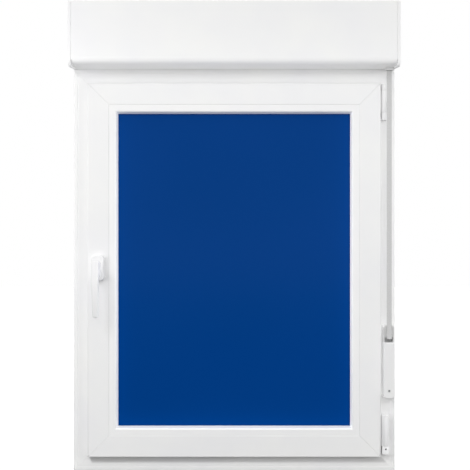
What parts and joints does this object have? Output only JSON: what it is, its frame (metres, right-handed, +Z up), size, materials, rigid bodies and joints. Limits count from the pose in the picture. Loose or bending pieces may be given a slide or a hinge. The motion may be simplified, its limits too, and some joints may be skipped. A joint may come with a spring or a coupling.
{
  "type": "tilt and turn window",
  "caption": "White PVC tilt and turn window with blue glazing, a turning handle, and a roller shutter box with pull strap and winder.",
  "frame": {"origin": "middle of the frame's bottom face", "axes": "+X right as seen from the room, +Y from the room to the outside, +Z up"},
  "size_m": [0.8, 0.195, 1.15],
  "materials": {
    "pvc_white": "smooth satin white PVC profile",
    "pane_blue": "deep blue glazing, smooth and opaque",
    "spacer_metal": "plain mill finish spacer bar",
    "seal_grey": "light grey weather seal",
    "handle_white": "white powder coat, satin",
    "hinge_white": "white powder coat, satin",
    "box_white": "smooth satin white PVC board",
    "shutter_white": "matt white PVC slats and rails",
    "strap_grey": "light grey woven webbing",
    "winder_white": "smooth white moulded plastic"
  },
  "bodies": {
    "window": {"frame_head": "pvc_white", "frame_sill": "pvc_white", "frame_left_jamb": "pvc_white", "frame_right_jamb": "pvc_white", "sash_top_rail": "pvc_white", "sash_bottom_rail": "pvc_white", "sash_handle_stile": "pvc_white", "sash_hinge_stile": "pvc_white", "glazing_bead_top": "pvc_white", "glazing_bead_bottom": "pvc_white", "glazing_bead_left": "pvc_white", "glazing_bead_right": "pvc_white", "inner_glass_pane": "pane_blue", "outer_glass_pane": "pane_blue", "glass_spacer": "spacer_metal", "sash_room_gasket": "seal_grey", "frame_outer_gasket": "seal_grey", "inner_glazing_gasket": "seal_grey", "outer_glazing_gasket": "seal_grey", "handle_rosette": "handle_white", "top_hinge_bearing": "hinge_white", "top_hinge_knuckle": "hinge_white", "top_hinge_pin": "hinge_white", "bottom_hinge_bearing": "hinge_white", "bottom_hinge_cover": "hinge_white", "box_front_panel": "box_white", "box_underside_panel": "box_white", "box_top_panel": "box_white", "box_outer_panel": "box_white", "box_left_end_cap": "box_white", "box_right_end_cap": "box_white", "rolled_curtain": "shutter_white", "shutter_end_slat": "shutter_white", "left_guide_rail": "shutter_white", "right_guide_rail": "shutter_white", "pull_strap": "strap_grey", "strap_guide": "winder_white", "winder_case": "winder_white", "winder_cover": "winder_white"},
    "handle": {"handle_lever": "handle_white"}
  },
  "joints": [
    {"name": "handle_turn", "type": "hinge", "parent": "window", "child": "handle", "pos_m": [-0.3365, -0.053, 0.505], "axis": [0, -1, 0], "range_deg": [0, 180]}
  ]
}
